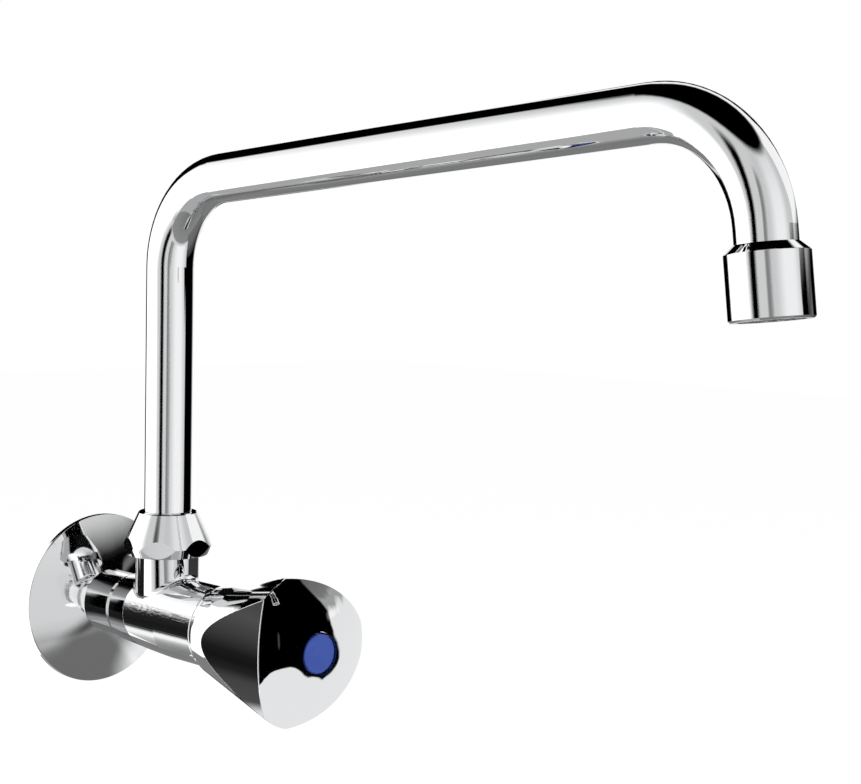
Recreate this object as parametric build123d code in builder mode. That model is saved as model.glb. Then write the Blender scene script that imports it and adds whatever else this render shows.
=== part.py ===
from build123d import *
import math
import os

# Wall-mounted cold-water sink tap with a swivelling high spout, in millimetres.
# The origin is on the wall plane, on the axis of the horizontal body.
# +Z is up, +X runs along the wall and the body points out of the wall along -Y.
# "Station" is the distance from the wall along the body, "height" is Z on the
# spout riser, and "drop" is the distance below the spout's last bend.

# ---------------------------------------------------------------- clearances
THREAD_GAP = 0.05  # radial, between a male thread and its female thread
RUNNING_GAP = 0.05  # radial, shaft in bearing
SLIP_GAP = 0.05  # radial, parts pushed together by hand
SEAT_GAP = 0.10  # axial, between faces that turn or slide on each other
RING_GAP = 0.03  # between an O-ring and the walls that squeeze it
LOOSE_GAP = 0.25  # radial, round a part that passes freely
GROOVE_SPARE = 0.12  # axial, on each side of an O-ring in its groove

# ---------------------------------------------------------- body, along -Y
INLET_THREAD_R = 10.48  # G1/2 male tail
INLET_TAIL_LENGTH = 14.0  # behind the wall plane
INLET_BORE_R = 6.5
TAIL_CHAMFER = 1.2
SHOULDER_STATION = 1.0  # the tail's thread ends, the barrel starts
BODY_REAR_R = 12.43
BODY_REAR_LENGTH = 21.5
BODY_STEP_R = 13.35
BODY_STEP_LENGTH = 3.0
BODY_SWELL_R = 14.45  # barrel radius half way along the swelling part
BODY_SWELL_LENGTH = 30.5
BODY_FRONT_R = 15.2
BODY_FRONT_LENGTH = 35.9  # from the riser's axis to the rim
BODY_FLARE_LENGTH = 4.0
BODY_RIM_R = 16.7
BODY_RIM_WIDTH = 0.9
SEAT_OFFSET = 7.1  # valve seat face, behind the riser's axis
SEAT_HOLE_R = 5.2
SEAT_RIM_R = 6.8
SEAT_RIM_HEIGHT = 1.2
SEAT_WALL = 3.0
CHAMBER_R = 9.3

# ------------------------------------------------------ stub and cap nut, +Z
RISER_STATION = 45.1  # distance of the spout riser's axis from the wall
STUB_NECK_STEP = 0.25  # of the stub's neck beyond its thread
STUB_NECK_TOP = 23.6
STUB_THREAD_STEP = 0.55  # of the stub's M24 thread beyond the slide rings
STUB_THREAD_LENGTH = 6.4
STUB_BORE_R = 8.05
STUB_BORE_DEPTH = 16.0
STUB_PORT_R = 6.5
STUB_BLEND = 2.0
NUT_LIFT = 0.4  # of the nut's lower edge above the stub's neck
NUT_HEIGHT = 16.4
NUT_RIDGE_LIFT = 3.6  # of the widest line above the lower edge
NUT_RIDGE_WALL = 4.95  # over the thread, at the widest line
NUT_TOP_WALL = 1.95  # round the tube, at the top
NUT_BOTTOM_WALL = 3.45
NUT_FLAT_WALL = 3.55
NUT_TURN = 9.3  # degrees, how the nut happens to stand
NUT_THREAD_SPARE = 1.0  # of the nut's thread above the stub
NUT_EDGE = 0.35

# ------------------------------------------------------------- spout
TUBE_R = 9.0
TUBE_WALL = 1.0
RISER_CORNER_HEIGHT = 164.6  # where the riser's and the arm's axes meet
ARM_LENGTH = 260.5  # between the two corners
ARM_RISE = 4.63  # degrees above level
OUTLET_SPLAY = 7.38  # degrees, down-leg leaning away from the wall
REAR_BEND_R = 33.2
FRONT_BEND_R = 37.3
SLIDE_RING_WIDTH = 2.15
SLIDE_RING_THICKNESS = 1.0
COLLAR_WIDTH = 1.4
COLLAR_THICKNESS = 2.4
NIPPLE_LIFT = 1.0  # of the nipple's end above the bottom of the stub's bore
NIPPLE_WALL = 1.1  # left under an O-ring groove
NIPPLE_SOCKET_LENGTH = 10.0
NIPPLE_CHAMFER = 0.8
SPOUT_RING_SECTION_R = 1.15
SPOUT_RING_LIFTS = (5.0, 10.5)  # above the bottom of the stub's bore

# ------------------------------------------------------------- aerator
CONE_TOP_DROP = 4.6
CONE_HEIGHT = 2.5
CONE_LIP = 0.2  # wall of the cone at its thin upper edge
SHELL_WALL = 1.15
AERATOR_THREAD_WALL = 1.9  # from the tube's socket to the M22 x 1 thread
AERATOR_THREAD_LENGTH = 6.5
TUBE_SOCKET_DEPTH = 3.6
TUBE_STOP = 0.1  # the tube's seat stands this far inside its bore
OUTLET_DROP = 25.8  # from the end of the front bend to the outlet's lip
SHELL_THREAD_SPARE = 1.8  # of the shell's thread below the end fitting
SHELL_SHOULDER = 0.65  # between the shell's thread and its pocket
SHELL_LIP_WIDTH = 0.8
SHELL_LIP_HEIGHT = 1.5
SHELL_EDGE = 0.6
AERATOR_WASHER_THICKNESS = 1.4
AERATOR_WASHER_WIDTH = 1.85
CARTRIDGE_FLANGE = 1.6
CARTRIDGE_FLANGE_WIDTH = 0.95
CARTRIDGE_WALL = 1.1
SCREEN_THICKNESS = 0.6
SCREEN_PITCH = 2.1
SCREEN_HOLE_R = 0.85
INLET_SCREEN_RINGS = 5
OUTLET_SCREEN_RINGS = 7
JET_PLATE_THICKNESS = 1.4
JET_HOLE_R = 0.6
JET_CIRCLES = ((3.0, 8), (5.6, 16))  # radius and count of each ring of holes

# ------------------------------------------------------------- headwork
BONNET_THREAD_R = 10.45  # G1/2
BONNET_THREAD_LENGTH = 15.4
BONNET_SKIRT_LENGTH = 2.0
BONNET_FLANGE_FLATS = 21.0
BONNET_FLANGE_LENGTH = 7.7
BONNET_NECK_WALL = 2.65
BONNET_NECK_LENGTH = 10.5
BEARING_LENGTH = 17.4
GASKET_POCKET_R = 13.2
GASKET_POCKET_DEPTH = 3.6
GASKET_THICKNESS = 1.4
SPINDLE_R = 4.9
SHOULDER_HEIGHT = 0.95
SHOULDER_LENGTH = 2.8
SPINDLE_SCREW_STEP = 0.9  # the screw is this much thinner than the spindle
SPINDLE_RING_SECTION_R = 0.8
SPINDLE_RING_OFFSETS = (5.6, 11.0)  # beyond the bearing's inner end
CIRCLIP_THICKNESS = 0.9
CIRCLIP_WIDTH = 2.45
CIRCLIP_GROOVE_DEPTH = 0.8
CIRCLIP_MOUTH = 6.4
SPLINE_SPACE = 1.0  # between the circlip and the splines
SPLINE_LENGTH = 8.0
SPLINE_STEP = 0.9  # the splines' tips stand this far inside the spindle
SPLINE_DEPTH = 0.35
SPLINE_TEETH = 20
SCREW_R = 1.95  # M4
SCREW_HOLE_DEPTH = 10.0
SCREW_HEAD_R = 3.8
SCREW_HEAD_HEIGHT = 2.6
HEX_KEY_FLATS = 2.5
HEX_KEY_DEPTH = 1.5

# ------------------------------------------------------------- valve
VALVE_LIFT = 5.0
LIFT_SPARE = 1.7  # left between the raised carrier and the spindle's shoulder
SCREW_SPARE = 0.6  # left between the raised carrier's floor and the screw
CARRIER_SIDE_SPACE = 0.15  # between the shoulder and the hexagonal bore
CARRIER_DISC_R = 8.2
CARRIER_DISC_THICKNESS = 5.5
CARRIER_FLOOR = 2.0
WASHER_R = 7.8
WASHER_THICKNESS = 3.2
WASHER_SCREW_R = 2.5
WASHER_SCREW_LENGTH = 7.0
WASHER_HEAD_R = 4.2
WASHER_HEAD_HEIGHT = 2.2

# ------------------------------------------------------------- handle
HANDLE_CLEARANCE = 0.8  # between the body's rim and the handle
HANDLE_LENGTH = 51.5
HANDLE_REAR_R = 17.35
HANDLE_FLARE = 0.255  # growth of the cone's radius per millimetre of station
HANDLE_DOME_R = 50.3
FACET_DEPTH = 6.3  # station of a facet's measuring point, behind the dome's top
FACET_DISTANCE = 23.5  # of a facet's middle from the axis, at that station
FACET_LEAN = 0.117
FACET_R = 50.8
FACET_TURN = 1.0  # degrees, how the handle happens to stand
HANDLE_WALL = 2.2
HANDLE_EDGE = 0.4
HUB_R = 10.6
HUB_SPACE = 0.4  # between the hub and the splines' inner end
BUSH_FLATS = 12.6
BUSH_FLOOR = 0.6
WEB_THICKNESS = 2.6
INDEX_R = 7.05
INDEX_STAND = -0.65  # of the index above the dome's top, which sets it flush with the recess's rim
INDEX_EDGE = 0.4
INDEX_PLUG_R = 4.75
INDEX_PLUG_LENGTH = 4.0
RECESS_R = 8.05
RECESS_DEPTH = 4.3

# ------------------------------------------------------------- rosette
ROSETTE_R = 33.8
ROSETTE_NECK_STATION = 8.15
ROSETTE_RIM_STATION = 1.8
ROSETTE_SAG = 0.3  # bulge of the dome beyond a straight cone
ROSETTE_SHEET = 0.8
ROSETTE_EDGE = 0.5
ROSETTE_SEAL_WIDTH = 3.0
ROSETTE_SEAL_THICKNESS = 1.0

os.makedirs("parts", exist_ok=True)

# Each axis has a plane whose X is the radius and whose Y runs along the axis.
body_plane = Plane(origin=(0, 0, 0), x_dir=(1, 0, 0), z_dir=(0, 0, -1))
riser_plane = Plane(origin=(0, -RISER_STATION, 0), x_dir=(1, 0, 0), z_dir=(0, -1, 0))

arm_angle = math.radians(ARM_RISE)
splay_angle = math.radians(OUTLET_SPLAY)
arm_direction = Vector(0, -math.cos(arm_angle), math.sin(arm_angle))
outlet_direction = Vector(0, -math.sin(splay_angle), -math.cos(splay_angle))
rear_corner = Vector(0, -RISER_STATION, RISER_CORNER_HEIGHT)
front_corner = rear_corner + arm_direction * ARM_LENGTH
front_turn = math.radians(arm_direction.get_angle(outlet_direction))
front_bend_end = front_corner + outlet_direction * (FRONT_BEND_R * math.tan(front_turn / 2))
outlet_plane = Plane(
    origin=front_bend_end,
    x_dir=(1, 0, 0),
    z_dir=Vector(1, 0, 0).cross(outlet_direction),
)


def across(plane, station):
    """The plane square to an axis at a station along it, facing along the axis."""
    return Plane(
        origin=plane.origin + plane.y_dir * station,
        x_dir=plane.x_dir,
        z_dir=plane.y_dir,
    )


def turned(plane, *outline, mode=Mode.ADD):
    """Revolve a closed outline of (radius, station) points about the plane's axis."""
    with BuildSketch(plane) as section:
        with BuildLine():
            Polyline(*outline, close=True)
        make_face()
    revolve(section.sketch, axis=Axis(plane.origin, plane.y_dir), mode=mode)


def sleeve(plane, inner, outer, start, end, mode=Mode.ADD):
    """A plain ring between two radii and two stations."""
    turned(plane, (inner, start), (outer, start), (outer, end), (inner, end), mode=mode)


def bored(plane, radius, start, end):
    """Cut a round hole along the plane's axis, from one station to another."""
    sleeve(plane, 0, radius, start, end, mode=Mode.SUBTRACT)


def prism(plane, flats, start, end, mode=Mode.ADD, turn=0):
    """A hexagonal prism along the plane's axis."""
    with BuildSketch(across(plane, start)) as hexagon:
        RegularPolygon(radius=flats / 2, side_count=6, major_radius=False, rotation=turn)
    extrude(hexagon.sketch, amount=end - start, mode=mode)


def torus(plane, ring_radius, section_radius, station):
    """An O-ring about the plane's axis."""
    with BuildSketch(plane) as section:
        with Locations((ring_radius, station)):
            Circle(section_radius)
    revolve(section.sketch, axis=Axis(plane.origin, plane.y_dir))


def grooved(plane, floor_radius, outer_radius, section_radius, station):
    """Cut the groove of an O-ring of this section radius at a station."""
    half = section_radius + GROOVE_SPARE
    sleeve(plane, floor_radius, outer_radius, station - half, station + half, mode=Mode.SUBTRACT)


def splined(plane, growth, start, end, mode=Mode.ADD):
    """A toothed shaft along the plane's axis, or the larger form of its socket."""
    radii = [spline_tip_r + growth, spline_tip_r - SPLINE_DEPTH + growth] * SPLINE_TEETH
    tooth_step = math.pi / SPLINE_TEETH
    with BuildSketch(across(plane, start)) as teeth:
        with BuildLine():
            Polyline(
                *[
                    (radius * math.cos(step * tooth_step), radius * math.sin(step * tooth_step))
                    for step, radius in enumerate(radii)
                ],
                close=True,
            )
        make_face()
    extrude(teeth.sketch, amount=end - start, mode=mode)


def finish(part, name):
    """Label a finished piece and write it out."""
    part.label = name
    export_step(part, f"parts/{name}.step")


# ------------------------------------------- stations that several pieces share
stub_top = STUB_NECK_TOP + STUB_THREAD_LENGTH
stub_bore_bottom = stub_top - STUB_BORE_DEPTH
nut_bottom = STUB_NECK_TOP + NUT_LIFT
nut_top = nut_bottom + NUT_HEIGHT
slide_lower_top = stub_top + SLIDE_RING_THICKNESS
collar_bottom = slide_lower_top + SEAT_GAP
collar_top = collar_bottom + COLLAR_THICKNESS
slide_upper_bottom = collar_top + SEAT_GAP
slide_upper_top = slide_upper_bottom + SLIDE_RING_THICKNESS
tube_hole_r = TUBE_R + LOOSE_GAP
slide_ring_r = tube_hole_r + SLIDE_RING_WIDTH
stub_thread_r = slide_ring_r + STUB_THREAD_STEP

body_end = RISER_STATION + BODY_FRONT_LENGTH
seat_station = RISER_STATION - SEAT_OFFSET
seat_rim = seat_station + SEAT_RIM_HEIGHT
gasket_start = body_end - GASKET_POCKET_DEPTH
gasket_top = gasket_start + GASKET_THICKNESS
bonnet_thread_start = gasket_start - BONNET_THREAD_LENGTH
bonnet_bottom = bonnet_thread_start - BONNET_SKIRT_LENGTH
flange_end = gasket_top + BONNET_FLANGE_LENGTH
bonnet_end = flange_end + BONNET_NECK_LENGTH
bearing_start = bonnet_end - BEARING_LENGTH
bearing_r = SPINDLE_R + RUNNING_GAP

shoulder_r = SPINDLE_R + SHOULDER_HEIGHT
shoulder_end = bearing_start - SEAT_GAP
shoulder_start = shoulder_end - SHOULDER_LENGTH
spindle_screw_r = SPINDLE_R - SPINDLE_SCREW_STEP
clip_start = bonnet_end + SEAT_GAP
clip_end = clip_start + CIRCLIP_THICKNESS
clip_groove_r = SPINDLE_R - CIRCLIP_GROOVE_DEPTH
spline_tip_r = SPINDLE_R - SPLINE_STEP
spline_start = clip_end + SPLINE_SPACE
spline_end = spline_start + SPLINE_LENGTH
hub_start = spline_start - HUB_SPACE
bush_end = spline_end + BUSH_FLOOR
screw_seat = bush_end + WEB_THICKNESS
screw_hole_end = spline_end - SCREW_HOLE_DEPTH

carrier_flats = 2 * (shoulder_r + CARRIER_SIDE_SPACE)
washer_face = seat_rim + SEAT_GAP
washer_back = washer_face + WASHER_THICKNESS
carrier_disc_end = washer_back + CARRIER_DISC_THICKNESS
carrier_bore_start = carrier_disc_end + CARRIER_FLOOR
carrier_end = shoulder_start - VALVE_LIFT - LIFT_SPARE
washer_screw_end = washer_face + WASHER_SCREW_LENGTH

handle_rear = body_end + HANDLE_CLEARANCE
handle_apex = handle_rear + HANDLE_LENGTH
recess_floor = handle_apex - RECESS_DEPTH
index_face = handle_apex + INDEX_STAND

cone_bottom_drop = CONE_TOP_DROP + CONE_HEIGHT
tube_seat_drop = CONE_TOP_DROP + TUBE_SOCKET_DEPTH
fitting_end_drop = cone_bottom_drop + AERATOR_THREAD_LENGTH
shell_thread_end = fitting_end_drop + SHELL_THREAD_SPARE
lip_start = OUTLET_DROP - SHELL_LIP_HEIGHT
end_socket_r = TUBE_R + SLIP_GAP
end_bore_r = TUBE_R - TUBE_WALL - TUBE_STOP
aerator_thread_r = end_socket_r + AERATOR_THREAD_WALL
shell_r = aerator_thread_r + SHELL_WALL
shell_pocket_r = aerator_thread_r - SHELL_SHOULDER
pocket_fit_r = shell_pocket_r - SLIP_GAP
washer_bottom = fitting_end_drop + AERATOR_WASHER_THICKNESS
jet_plate_drop = washer_bottom + CARTRIDGE_FLANGE
cartridge_end = lip_start - SCREEN_THICKNESS
cartridge_r = pocket_fit_r - CARTRIDGE_FLANGE_WIDTH
cartridge_bore_r = cartridge_r - CARTRIDGE_WALL

# ================================================================ fixed pieces
rear_end = SHOULDER_STATION + BODY_REAR_LENGTH
swell_start = rear_end + BODY_STEP_LENGTH
swell_end = swell_start + BODY_SWELL_LENGTH
flare_start = body_end - BODY_FLARE_LENGTH
rim_start = body_end - BODY_RIM_WIDTH
with BuildPart() as body:
    with BuildSketch(body_plane) as barrel:
        with BuildLine():
            Polyline(
                (0, -INLET_TAIL_LENGTH),
                (INLET_THREAD_R - TAIL_CHAMFER, -INLET_TAIL_LENGTH),
                (INLET_THREAD_R, TAIL_CHAMFER - INLET_TAIL_LENGTH),
                (INLET_THREAD_R, SHOULDER_STATION),
                (BODY_REAR_R, SHOULDER_STATION),
                (BODY_REAR_R, rear_end),
                (BODY_STEP_R, swell_start),
            )
            ThreePointArc(
                (BODY_STEP_R, swell_start),
                (BODY_SWELL_R, (swell_start + swell_end) / 2),
                (BODY_FRONT_R, swell_end),
            )
            Line((BODY_FRONT_R, swell_end), (BODY_FRONT_R, flare_start))
            TangentArc((BODY_FRONT_R, flare_start), (BODY_RIM_R, rim_start), tangent=(0, 1))
            Polyline(
                (BODY_RIM_R, rim_start),
                (BODY_RIM_R, body_end),
                (0, body_end),
                (0, -INLET_TAIL_LENGTH),
            )
        make_face()
    revolve(barrel.sketch, axis=Axis(body_plane.origin, body_plane.y_dir))
    sleeve(riser_plane, 0, stub_thread_r + STUB_NECK_STEP, 0, STUB_NECK_TOP)
    fillet(body.edges(Select.NEW), STUB_BLEND)
    sleeve(riser_plane, 0, stub_thread_r, STUB_NECK_TOP, stub_top)
    bored(body_plane, INLET_BORE_R, -INLET_TAIL_LENGTH, seat_station - SEAT_WALL)
    bored(body_plane, SEAT_HOLE_R, -INLET_TAIL_LENGTH, seat_station)
    bored(body_plane, CHAMBER_R, seat_station, bonnet_thread_start)
    bored(body_plane, BONNET_THREAD_R + THREAD_GAP, bonnet_thread_start, body_end)
    bored(body_plane, GASKET_POCKET_R, gasket_start, body_end)
    bored(riser_plane, STUB_PORT_R, 0, stub_bore_bottom)
    bored(riser_plane, STUB_BORE_R, stub_bore_bottom, stub_top)
    sleeve(body_plane, SEAT_HOLE_R, SEAT_RIM_R, seat_station - SEAT_WALL, seat_rim)
finish(body.part, "body")

rosette_hole_r = BODY_REAR_R + SLIP_GAP
with BuildPart() as rosette:
    with BuildSketch(body_plane) as dome:
        with BuildLine():
            # The dome ends in a rounded rim, an arc about (edge_r, edge_station).
            lean = math.atan2(ROSETTE_NECK_STATION - ROSETTE_RIM_STATION, ROSETTE_R - rosette_hole_r)
            halfway = (math.pi / 2 - lean) / 2
            edge_r, edge_station = ROSETTE_R - ROSETTE_EDGE, ROSETTE_RIM_STATION - ROSETTE_EDGE
            rim = (edge_r + ROSETTE_EDGE * math.sin(lean), edge_station + ROSETTE_EDGE * math.cos(lean))
            rim_middle = (edge_r + ROSETTE_EDGE * math.cos(halfway), edge_station + ROSETTE_EDGE * math.sin(halfway))
            rim_side = (ROSETTE_R, edge_station)
            neck = (rosette_hole_r, ROSETTE_NECK_STATION)
            middle = (
                (rosette_hole_r + ROSETTE_R) / 2,
                (ROSETTE_NECK_STATION + ROSETTE_RIM_STATION) / 2 + ROSETTE_SAG,
            )
            inner_neck = (rosette_hole_r, ROSETTE_NECK_STATION - ROSETTE_SHEET)
            inner_rim = (ROSETTE_R - ROSETTE_SHEET, ROSETTE_RIM_STATION - ROSETTE_SHEET / 2)
            inner_middle = (middle[0] - ROSETTE_SHEET / 4, middle[1] - ROSETTE_SHEET)
            ThreePointArc(neck, middle, rim)
            ThreePointArc(rim, rim_middle, rim_side)
            Polyline(rim_side, (ROSETTE_R, 0), (ROSETTE_R - ROSETTE_SHEET, 0), inner_rim)
            ThreePointArc(inner_rim, inner_middle, inner_neck)
            Line(inner_neck, neck)
        make_face()
    revolve(dome.sketch, axis=Axis(body_plane.origin, body_plane.y_dir))
finish(rosette.part, "rosette")

seal_outer_r = ROSETTE_R - ROSETTE_SHEET - SLIP_GAP
with BuildPart() as rosette_seal:
    sleeve(body_plane, seal_outer_r - ROSETTE_SEAL_WIDTH, seal_outer_r, 0, ROSETTE_SEAL_THICKNESS)
finish(rosette_seal.part, "rosette_seal")

gasket_hole_r = BONNET_THREAD_R + SLIP_GAP
gasket_outer_r = GASKET_POCKET_R - SLIP_GAP
with BuildPart() as bonnet_gasket:
    sleeve(body_plane, gasket_hole_r, gasket_outer_r, gasket_start, gasket_top)
finish(bonnet_gasket.part, "bonnet_gasket")

carrier_way_flats = carrier_flats + 2 * RUNNING_GAP
with BuildPart() as bonnet:
    sleeve(body_plane, 0, CHAMBER_R - SLIP_GAP, bonnet_bottom, bonnet_thread_start)
    sleeve(body_plane, 0, BONNET_THREAD_R, bonnet_thread_start, gasket_top)
    prism(body_plane, BONNET_FLANGE_FLATS, gasket_top, flange_end)
    sleeve(body_plane, 0, bearing_r + BONNET_NECK_WALL, flange_end, bonnet_end)
    prism(body_plane, carrier_way_flats, bonnet_bottom, bearing_start, mode=Mode.SUBTRACT)
    bored(body_plane, bearing_r, bearing_start, bonnet_end)
finish(bonnet.part, "bonnet")

with BuildPart() as slide_ring_lower:
    sleeve(riser_plane, STUB_BORE_R + SLIP_GAP, slide_ring_r, stub_top, slide_lower_top)
finish(slide_ring_lower.part, "slide_ring_lower")

with BuildPart() as slide_ring_upper:
    sleeve(riser_plane, tube_hole_r, slide_ring_r, slide_upper_bottom, slide_upper_top)
finish(slide_ring_upper.part, "slide_ring_upper")

nut_thread_top = stub_top + NUT_THREAD_SPARE
nut_top_r = tube_hole_r + NUT_TOP_WALL
nut_flats = 2 * (stub_thread_r + NUT_FLAT_WALL)
with BuildPart() as spout_nut:
    turned(
        riser_plane,
        (tube_hole_r, nut_bottom),
        (stub_thread_r + NUT_BOTTOM_WALL, nut_bottom),
        (stub_thread_r + NUT_RIDGE_WALL, nut_bottom + NUT_RIDGE_LIFT),
        (nut_top_r, nut_top - NUT_EDGE),
        (nut_top_r - NUT_EDGE, nut_top),
        (tube_hole_r, nut_top),
    )
    prism(riser_plane, nut_flats, nut_bottom, nut_top, mode=Mode.INTERSECT, turn=NUT_TURN)
    bored(riser_plane, stub_thread_r + THREAD_GAP, nut_bottom, nut_thread_top)
    bored(riser_plane, slide_ring_r + LOOSE_GAP, nut_thread_top, slide_upper_top)
finish(spout_nut.part, "spout_nut")

# ================================================================ spout
with BuildPart() as spout_tube:
    with BuildLine() as route:
        FilletPolyline(
            (0, -RISER_STATION, collar_top),
            rear_corner,
            front_corner,
            front_bend_end + outlet_direction * tube_seat_drop,
            radius=[REAR_BEND_R, FRONT_BEND_R],
        )
    with BuildSketch(across(riser_plane, collar_top)) as wall:
        Circle(TUBE_R)
        Circle(TUBE_R - TUBE_WALL, mode=Mode.SUBTRACT)
    sweep(wall.sketch, path=route.wires()[0])
finish(spout_tube.part, "spout_tube")

spigot_r = STUB_BORE_R - RUNNING_GAP
spout_groove_r = STUB_BORE_R - 2 * (SPOUT_RING_SECTION_R + RING_GAP)
nipple_bore_r = spout_groove_r - NIPPLE_WALL
nipple_bottom = stub_bore_bottom + NIPPLE_LIFT
socket_r = TUBE_R - TUBE_WALL - SLIP_GAP
socket_top = collar_top + NIPPLE_SOCKET_LENGTH
spout_rings = [("lower", SPOUT_RING_LIFTS[0]), ("upper", SPOUT_RING_LIFTS[1])]
with BuildPart() as spout_nipple:
    turned(
        riser_plane,
        (nipple_bore_r, nipple_bottom),
        (spigot_r - NIPPLE_CHAMFER, nipple_bottom),
        (spigot_r, nipple_bottom + NIPPLE_CHAMFER),
        (spigot_r, collar_bottom),
        (TUBE_R + COLLAR_WIDTH, collar_bottom),
        (TUBE_R + COLLAR_WIDTH, collar_top),
        (socket_r, collar_top),
        (socket_r, socket_top),
        (nipple_bore_r, socket_top),
    )
    for place, lift in spout_rings:
        height = stub_bore_bottom + lift
        grooved(riser_plane, spout_groove_r, STUB_BORE_R, SPOUT_RING_SECTION_R, height)
finish(spout_nipple.part, "spout_nipple")

spout_ring_r = STUB_BORE_R - RING_GAP - SPOUT_RING_SECTION_R
for place, lift in spout_rings:
    with BuildPart() as spout_o_ring:
        torus(riser_plane, spout_ring_r, SPOUT_RING_SECTION_R, stub_bore_bottom + lift)
    finish(spout_o_ring.part, f"spout_o_ring_{place}")

with BuildPart() as spout_end:
    turned(
        outlet_plane,
        (end_socket_r, CONE_TOP_DROP),
        (end_socket_r + CONE_LIP, CONE_TOP_DROP),
        (shell_r, cone_bottom_drop),
        (aerator_thread_r, cone_bottom_drop),
        (aerator_thread_r, fitting_end_drop),
        (end_bore_r, fitting_end_drop),
        (end_bore_r, tube_seat_drop),
        (end_socket_r, tube_seat_drop),
    )
finish(spout_end.part, "spout_end")

shell_top = cone_bottom_drop + SEAT_GAP
shell_thread_r = aerator_thread_r + THREAD_GAP
shell_lip_r = shell_pocket_r - SHELL_LIP_WIDTH
with BuildPart() as aerator_shell:
    turned(
        outlet_plane,
        (shell_thread_r, shell_top),
        (shell_r, shell_top),
        (shell_r, OUTLET_DROP - SHELL_EDGE),
        (shell_r - SHELL_EDGE, OUTLET_DROP),
        (shell_lip_r, OUTLET_DROP),
        (shell_lip_r, lip_start),
        (shell_pocket_r, lip_start),
        (shell_pocket_r, shell_thread_end),
        (shell_thread_r, shell_thread_end),
    )
finish(aerator_shell.part, "aerator_shell")

with BuildPart() as aerator_washer:
    washer_hole_r = pocket_fit_r - AERATOR_WASHER_WIDTH
    sleeve(outlet_plane, washer_hole_r, pocket_fit_r, fitting_end_drop, washer_bottom)
finish(aerator_washer.part, "aerator_washer")

jet_plate_bottom = jet_plate_drop + JET_PLATE_THICKNESS
with BuildPart() as aerator_cartridge:
    turned(
        outlet_plane,
        (cartridge_bore_r, washer_bottom),
        (pocket_fit_r, washer_bottom),
        (pocket_fit_r, jet_plate_drop),
        (cartridge_r, jet_plate_drop),
        (cartridge_r, cartridge_end),
        (cartridge_bore_r, cartridge_end),
        (cartridge_bore_r, jet_plate_bottom + CARTRIDGE_WALL),
        (cartridge_bore_r - CARTRIDGE_WALL, jet_plate_bottom),
        (cartridge_bore_r, jet_plate_bottom),
    )
finish(aerator_cartridge.part, "aerator_cartridge")

with BuildPart() as aerator_jet_plate:
    with BuildSketch(across(outlet_plane, jet_plate_drop)) as jets:
        Circle(cartridge_bore_r - SLIP_GAP)
        for circle_radius, count in JET_CIRCLES:
            with PolarLocations(circle_radius, count):
                Circle(JET_HOLE_R, mode=Mode.SUBTRACT)
    extrude(jets.sketch, amount=JET_PLATE_THICKNESS)
finish(aerator_jet_plate.part, "aerator_jet_plate")


def screen(radius, drop, rings):
    """A round perforated sheet, its holes on a hexagonal grid."""
    with BuildSketch(across(outlet_plane, drop)) as sheet:
        Circle(radius)
        with HexLocations(SCREEN_PITCH / 2, rings, rings):
            Circle(SCREEN_HOLE_R, mode=Mode.SUBTRACT)
    extrude(sheet.sketch, amount=SCREEN_THICKNESS)


inlet_screen_drop = jet_plate_drop - SCREEN_THICKNESS
with BuildPart() as aerator_inlet_screen:
    screen(cartridge_bore_r - SLIP_GAP, inlet_screen_drop, INLET_SCREEN_RINGS)
finish(aerator_inlet_screen.part, "aerator_inlet_screen")

with BuildPart() as aerator_outlet_screen:
    screen(pocket_fit_r, cartridge_end, OUTLET_SCREEN_RINGS)
finish(aerator_outlet_screen.part, "aerator_outlet_screen")

# ================================================================ handle group
spindle_screw_start = carrier_bore_start + VALVE_LIFT + SCREW_SPARE
spindle_groove_r = bearing_r - 2 * (SPINDLE_RING_SECTION_R + RING_GAP)
spindle_rings = [("inner", SPINDLE_RING_OFFSETS[0]), ("outer", SPINDLE_RING_OFFSETS[1])]
with BuildPart() as spindle:
    sleeve(body_plane, 0, spindle_screw_r, spindle_screw_start, shoulder_start)
    sleeve(body_plane, 0, shoulder_r, shoulder_start, shoulder_end)
    sleeve(body_plane, 0, SPINDLE_R, shoulder_end, spline_start)
    splined(body_plane, 0, spline_start, spline_end)
    for place, offset in spindle_rings:
        station = bearing_start + offset
        grooved(body_plane, spindle_groove_r, shoulder_r, SPINDLE_RING_SECTION_R, station)
    sleeve(body_plane, clip_groove_r, shoulder_r, clip_start, clip_end, mode=Mode.SUBTRACT)
    bored(body_plane, SCREW_R + THREAD_GAP, screw_hole_end, spline_end)
finish(spindle.part, "spindle")

spindle_ring_r = bearing_r - RING_GAP - SPINDLE_RING_SECTION_R
for place, offset in spindle_rings:
    with BuildPart() as spindle_o_ring:
        torus(body_plane, spindle_ring_r, SPINDLE_RING_SECTION_R, bearing_start + offset)
    finish(spindle_o_ring.part, f"spindle_o_ring_{place}")

clip_hole_r = clip_groove_r + SLIP_GAP
clip_outer_r = clip_hole_r + CIRCLIP_WIDTH
with BuildPart() as circlip:
    sleeve(body_plane, clip_hole_r, clip_outer_r, clip_start, clip_end)
    # The open mouth reaches from the middle to well outside the ring.
    with BuildSketch(across(body_plane, clip_start)) as mouth:
        with Locations((0, -clip_outer_r)):
            Rectangle(CIRCLIP_MOUTH, 2 * clip_outer_r)
    extrude(mouth.sketch, amount=CIRCLIP_THICKNESS, mode=Mode.SUBTRACT)
finish(circlip.part, "circlip")


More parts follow.
